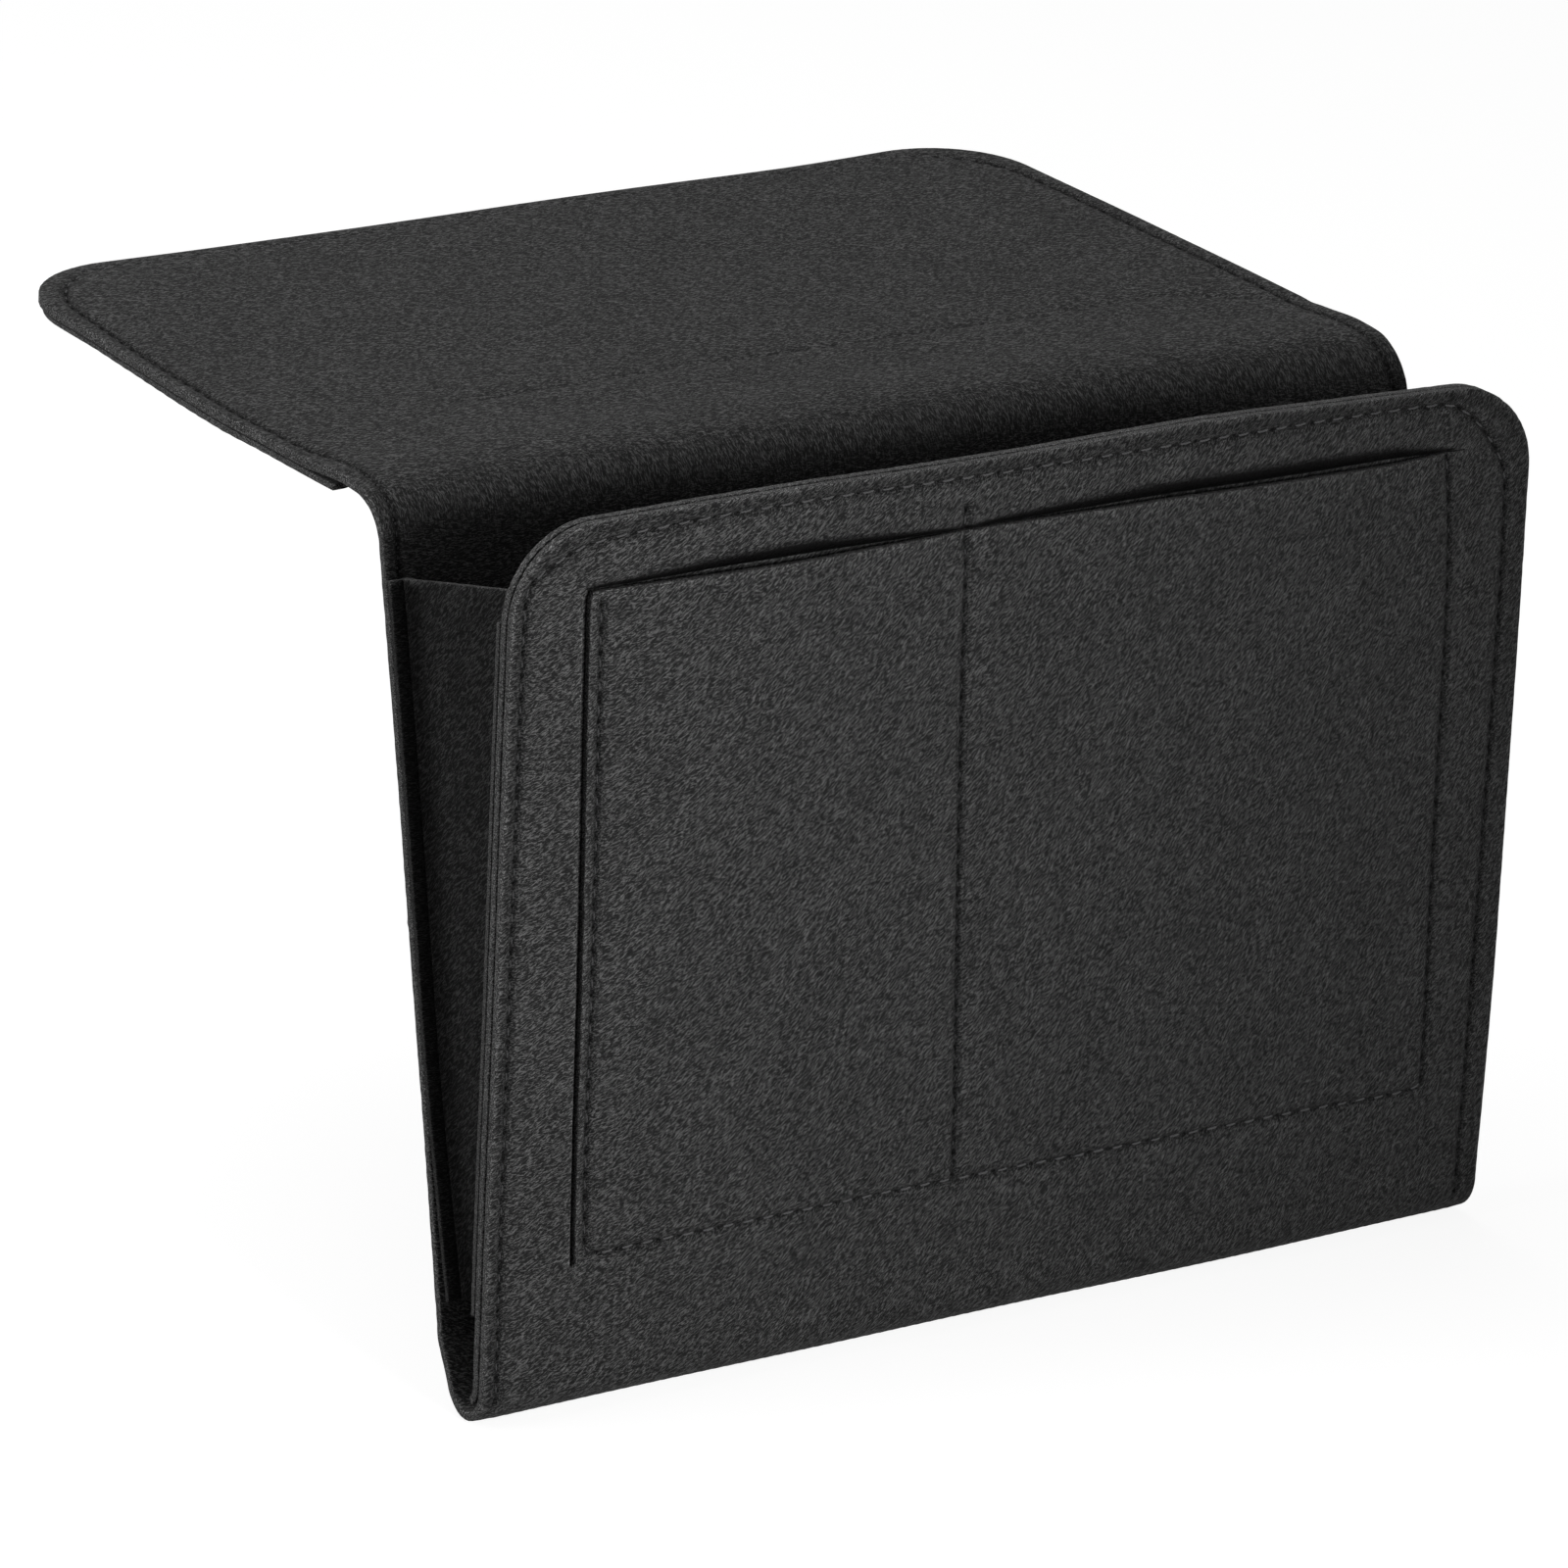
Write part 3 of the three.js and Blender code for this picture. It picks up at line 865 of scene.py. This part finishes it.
def thread_material(name, tone):
    """Twisted thread, darker by painted shade where "press" is."""
    n = Nodes(bpy.data.materials.new(name))
    lay = n.read("lay", 1)
    along = n.add("SeparateXYZ", Vector=lay)
    around = along.node.outputs[1]
    spiral = n.sum(n.times(along, 9.0), n.times(around, 12.566))
    ply = n.add("Math", OPERATION="SINE", i0=spiral)
    grain = n.add("TexNoise", Vector=lay, Scale=3.0, Detail=2.0)
    shade = n.times(n.span(ply, -1.0, 1.0, 0.78, 1.18), n.span(grain, 0.3, 0.7, 0.88, 1.12))
    shade = n.times(n.times(shade, tone), n.span(n.read("press"), 0.0, 1.0, 1.0, 0.04))
    colour = n.add("CombineColor", Red=shade, Green=shade, Blue=n.times(shade, 1.02))
    normal = n.add("Bump", Strength=0.6, Distance=0.0001, Height=ply)
    return n.done(n.add("BsdfPrincipled", Base_Color=colour, Roughness=0.62, Normal=normal,
                        Specular_IOR_Level=0.12, Sheen_Weight=0.1, Sheen_Roughness=0.4))


STRIP = felt_material("strip_felt", 0.0475, 0.6, comb=True)
GUSSET = felt_material("gusset_felt", 0.042, 0.5)
# The black thread's tone is lighter than the felt's, a painted highlight for its sheen.
THREADS = thread_material("thread", 0.11)


def dress(made, material):
    """A piece with its material."""
    made.data.materials.append(material)
    return made


# --- outlines
def arc(cx, cy, radius, start, end, steps=14):
    """Points of a circle between two angles in degrees."""
    a = np.radians(np.linspace(start, end, steps + 1))
    return np.stack([cx + radius * np.cos(a), cy + radius * np.sin(a)], 1).tolist()


def right_side(v):
    """The front panel's right edge, which stands out a little at mid height."""
    z = np.clip((v - V_FRONT) / 205, 0, 1)
    return HALF + 0.9 * np.sin(np.pi * z)


def front_top(u):
    """How far the front panel's top edge rises over a straight line."""
    return np.interp(u, [-130, -102, -66, -42, -5, 20, 45, 58, 71, 84, 96, 109, 125, 139, 150],
                     [0, 0.4, 0.3, -0.2, -0.3, 0.2, 0.6, 0.5, 0.2, -0.3, -0.7, -1.1, -1.6, -2.1, -2.5])


def front_loop(start):
    """The front panel's end of the strip from a start line up to its rounded top corners."""
    r, top = 25.0, V_END
    right = [(right_side(v), v) for v in np.linspace(start, top - r, 40)]
    middle = [(u, top) for u in np.arange(HALF - r - 5, r - HALF, -7.0)]
    loop = [(-HALF, start)] + right + arc(HALF - r, top - r, r, 0, 90) + middle
    loop += arc(r - HALF, top - r, r, 90, 180)
    loop = [p for k, p in enumerate(loop) if k == 0 or np.hypot(*np.subtract(p, loop[k - 1])) > 0.05]
    return [(u, v + front_top(u) * smooth(v, top - 60, top - 18)) for u, v in loop]


def slit_loop():
    """The slit: up the left side, round the corner and along the top, with its lower lip sagging."""
    x = np.arange(-136, 135, 4.0)
    lower = [(a, slit_low(a)) for a in x[::-1]]
    upper = [(a, slit_top(a)) for a in x]
    right = [(136.4, 213.9), (138.2, 213.85), (138.3, 213.7), (138.0, 213.55), (136.4, 213.5)]
    corner = [(-136.5, 212.3), (-136.6, 209.5)]
    down = [(-136.6 + 3.7 * (1 - z / 214), z) for z in np.arange(200, 32, -8.0)]
    foot = [(-133.2, 31.0), (-133.25, 30.1), (-133.8, 29.6), (-134.5, 29.7), (-134.9, 30.4)]
    up = [(-134.9 - 4 * (z - 30) / 185, z) for z in np.arange(38, 212, 8.0)]
    nick = [(-138.9, 213.6), (-139.9, 214.2), (-139.7, 214.9), (-138.6, 215.2)]
    loop = upper + right + lower + corner + down + foot + up + nick
    return [(a, V_FRONT + z) for a, z in loop]


def sewn_edge(loop):
    """A cut edge's rounding, with none where the strip runs on in its other half."""
    top = 0.2 * smooth(loop[:, 0], -40, 20) * smooth(loop[:, 1], V_END - 12, V_END - 4)
    return np.where(np.abs(loop[:, 1] - V_SPLIT) < 0.1, 0.02, 0.5 - top)


def flap_loop(corner, left_end, right_end):
    """The flap's outline from its far end to the given ends. Its left edge bulges before the corner."""
    y = np.arange(4, 152, 8.0)
    side = np.interp(y, [0, 20, 40, 57, 73, 94, 120, 150], [0, 0.8, 1.6, 1.9, 2.8, 2.1, 0.85, 0])
    left = [(-HALF - out, REACH - at) for out, at in zip(side, y) if REACH - at < left_end - 3]
    loop = arc(corner - HALF, corner, corner, 180, 270) + arc(HALF - 30, 30, 30, 270, 360)
    end = np.interp(REACH - left_end, y, side) if left_end < REACH else 0
    return loop + [(HALF, right_end), (-HALF - end, left_end)] + left


# --- the strip
UPPER_ROLL = 0.15, 2.5


def lower_roll(v):
    """The roll that starts as the upper half's and grows to full."""
    grown = past_split(v)
    return UPPER_ROLL[0] + 0.2 * grown, UPPER_ROLL[1] + grown


def build_strip():
    loop = flap_loop(34, V_SPLIT, V_SPLIT)
    bands = [(V_BEND - 8, V_BACK + 8, 1.2)]
    x = np.arange(-120, 158, 1.8)
    fold = [np.stack([x, REACH - flap_crease(x) + off], 1) for off in (0, 0.7, -0.7, 1.6, -1.6)]

    def flap_fold(u, v):
        """How deep the flap's faint crease is, and the painted shade along it."""
        near = smooth(u, -125, -85) * (1 - smooth(u, 150, 158))
        uneven = 0.75 + 0.25 * np.sin(u / 6.1) * np.sin(u / 14.7)
        line = bump(REACH - v, flap_crease(u), 0.8) * near * uneven
        return 0.2 * line, 0.2 * line

    upper = felt("strip_upper", [loop], on_strip, FELT, "ab", [FLAP_SEAM], sewn_edge, bands=bands,
                 split=V_SPLIT, roll=UPPER_ROLL, under=lambda v: smooth(v, 176, 192), sink_and_shade=flap_fold,
                 more=fold)
    dress(upper, STRIP)
    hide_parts("flap_sheet")
    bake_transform(upper)

    loops = [front_loop(V_SPLIT), slit_loop()]
    bands = [(V_CREASE - 10, V_FRONT + 6, 1.2)]
    x = np.arange(-140, 140, 1.6)
    lip = [np.stack([x, V_FRONT + slit_top(x) + up], 1) for up in (1.2, 2.0, 3.0, 4.2, 5.6)]
    seams = [FLAP_SEAM] + FRONT_SEAMS
    lower = felt("strip_lower", loops, on_strip, FELT, "b", seams, sewn_edge, bands=bands, split=V_SPLIT,
                 roll=lower_roll, parting=0.12, painted_rim_shade=0.28, sink_and_shade=slit_roll, more=lip)
    dress(lower, STRIP)
    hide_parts("back_sheet", "front_sheet")
    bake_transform(lower)

    for face, label, first in (("a", "top", -math.inf), ("b", "under", REACH - 26)):
        made = threads("thread_upper_" + label, [FLAP_SEAM], on_strip, FELT, face,
                       keep=lambda u, v: (v > first) & (v < V_SPLIT))
        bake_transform(made)
    made = threads("thread_lower_front", FRONT_SEAMS, on_strip, FELT, "b")
    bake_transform(made)
    made = threads("thread_lower_back", [FLAP_SEAM], on_strip, FELT, "b",
                   keep=lambda u, v: v >= V_SPLIT)
    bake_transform(made)


def build_plies():
    near_left, near_right = REACH - 21.5, REACH - 28.5
    loop = flap_loop(37, near_left, near_right)
    under = felt("under_ply", [loop], on_under_ply, THIN, "b", [FLAP_SEAM], 0.28, parting=0.05,
                 roll=(0.1, 2.5), swell=lambda u, v: -0.25 * smooth(REACH - v, 80, 150))
    dress(under, STRIP)
    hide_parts("flap_under_ply")
    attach(under, "flap")
    made = threads("thread_under_ply", [FLAP_SEAM], on_under_ply, THIN, "b",
                   keep=lambda u, v: v < np.interp(u, [-160, 160], [near_left, near_right]) - 3)
    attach(made, "flap")

    loop = front_loop(V_FRONT - 4.5)
    lining = felt("lining", [loop], on_lining, FELT, "a", FRONT_SEAMS,
                  lambda p: 0.4 - 0.18 * smooth(p[:, 0], -40, 20), parting=0.1)
    dress(lining, STRIP)
    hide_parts("front_lining")
    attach(lining, "front")
    made = threads("thread_lining", FRONT_SEAMS, on_lining, FELT, "a",
                   keep=lambda u, v: v > V_FRONT + 4)
    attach(made, "front")


# --- gussets
HEM, HEM_SEAM = 6, 3.9  # how wide a hem is, and how far in its seam runs


def build_hem(label, part, body, place, low, high, sink_and_shade=None):
    first, last = low + 1, high - 1
    seam = Seam([(HEM_SEAM, first), (HEM_SEAM, (first + last) / 2), (HEM_SEAM, last)])

    def edge_radius(loop):
        """Rounded in full where the hem turns into its web."""
        return np.where(loop[:, 0] > HEM - 0.5, 0.98, 0.3)

    loop = [(0, low), (HEM, low), (HEM, high), (0, high)]
    hem = felt(f"{label}_{part}_hem_felt", [loop], place, THIN, "a", [seam], edge_radius, spacing=2.5,
               sew=0.3, sink_and_shade=sink_and_shade)
    dress(hem, GUSSET)
    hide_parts(f"gusset_{label}_{part}_hem")
    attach(hem, body)
    made = threads(f"{label}_thread_{part}_hem", [seam], place, THIN, "a")
    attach(made, body)
    return hem


def web_shade(u, v):
    """No depth, and painted shade along a rear web's root, but for its top edge."""
    return 0 * u, 0.68 * (1 - smooth(u, 0.5, 6.5)) * smooth(WEB_TOP - u * WEB_SLOPE - v, 0.3, 2)


def build_gusset(label, side):
    low, high = back_v(GUSSET_TOP), back_v(GUSSET_FOOT)

    def hem_shade(u, v):
        """No depth, and painted shade between hem and panel, but for the top edge."""
        return 0 * u, 0.6 * smooth(v, low + 0.3, low + 2)

    build_hem(label, "rear", "back", on_rear_hem(side), low, high, hem_shade)
    hem = build_hem(label, "front", "front", on_front_hem(side), V_FRONT + WEB_FOOT + APEX_FRONT,
                    V_FRONT + WEB_TOP + APEX_FRONT)

    squared = 1 + WEB_SLOPE**2
    tip_foot, tip_top = WEB_FOOT * WEB_SLOPE / squared, WEB_TOP * WEB_SLOPE / squared
    for rear, part, panel in ((True, "rear", "back"), (False, "front", "front")):
        bead = 1.0 if rear else 1.35  # radius of the web's free edge, which lies in the middle crease

        def edge_radius(loop):
            free = loop[:, 0] > loop[:, 1] * WEB_SLOPE + bead - 1.5
            return np.where(loop[:, 0] < -0.5, 0.98, np.where(free, bead - 0.02, 0.45))

        def swell(u, v):
            return (bead - 1.0) * smooth(u - v * WEB_SLOPE, -5, -0.5)

        foot, top = tip_foot + bead, tip_top + bead
        loop = [(-1, WEB_FOOT + WEB_SLOPE), (foot, WEB_FOOT - foot * WEB_SLOPE),
                (top, WEB_TOP - top * WEB_SLOPE), (-1, WEB_TOP + WEB_SLOPE)]
        web = felt(f"{label}_{part}_web_felt", [loop], on_web(side, rear), THIN, "", (), edge_radius,
                   spacing=3.0, swell=swell, sink_and_shade=web_shade if rear else None)
        dress(web, GUSSET)
        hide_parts(f"gusset_{label}_{part}_web")
        root = on_web(side, rear)(np.zeros(2), np.array([10.0, 215.0]), np.zeros(2)) * MM
        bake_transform(web)


# --- stage and light
def make_floor():
    """White to the camera, grey to the light for soft shadows, and clear from below."""
    low = cad_box[0].z
    bm = bmesh.new()
    bmesh.ops.create_grid(bm, x_segments=2, y_segments=2, size=12)
    mesh = bpy.data.meshes.new("floor")
    bm.to_mesh(mesh)
    bm.free()
    floor = show("floor", mesh)
    floor.location = (0, 0, low - 0.0023)  # clear of the fold, which bulges out of the CAD
    n = Nodes(bpy.data.materials.new("floor"))
    lit = n.add("BsdfDiffuse", Color=(0.25, 0.25, 0.25, 1))
    glow = n.add("Emission", Color=(1, 1, 1, 1), Strength=n.times(n.seen(), 0.88))
    both = n.add("AddShader", i0=lit, i1=glow)
    clear = n.add("BsdfTransparent")
    behind = n.tree.nodes.new("ShaderNodeNewGeometry").outputs["Backfacing"]
    mixed = n.add("MixShader", i0=behind, i1=both, i2=clear)
    floor.data.materials.append(n.done(mixed))


def make_world(fill):
    """White to the camera, and as weak as fill to all else."""
    n = Nodes(bpy.data.worlds.new("studio"))
    sky = n.add("Background", Color=(1, 1, 1, 1), Strength=n.span(n.seen(), 0.0, 1.0, fill, 1.0))
    bpy.context.scene.world = n.done(sky, "World")


def add_lamp(name, at, target, size, power):
    """A square lamp, size metres wide, that the camera doesn't see."""
    data = bpy.data.lights.new(name, "AREA")
    data.shape = "SQUARE"
    data.size = size
    data.energy = power
    lamp = bpy.data.objects.new(name, data)
    bpy.context.scene.collection.objects.link(lamp)
    at, target = Vector(at) * MM, Vector(target) * MM
    lamp.location = at
    lamp.rotation_mode = "QUATERNION"
    lamp.rotation_quaternion = (target - at).to_track_quat("-Z", "Y")
    lamp.visible_camera = False


build_strip()
build_plies()
build_gusset("left", -1)
build_gusset("right", 1)
make_floor()
make_world(0.1)
add_lamp("overhead", (-200, 600, 1600), (0, -120, -60), 1.6, 18.8)
add_lamp("front", (-100, -900, 60), (-1000, -180, -80), 0.3, 6.54)
add_lamp("left", (-1200, 0, 300), (0, -120, -60), 0.6, 5.22)

bpy.context.scene.view_settings.view_transform = "Standard"
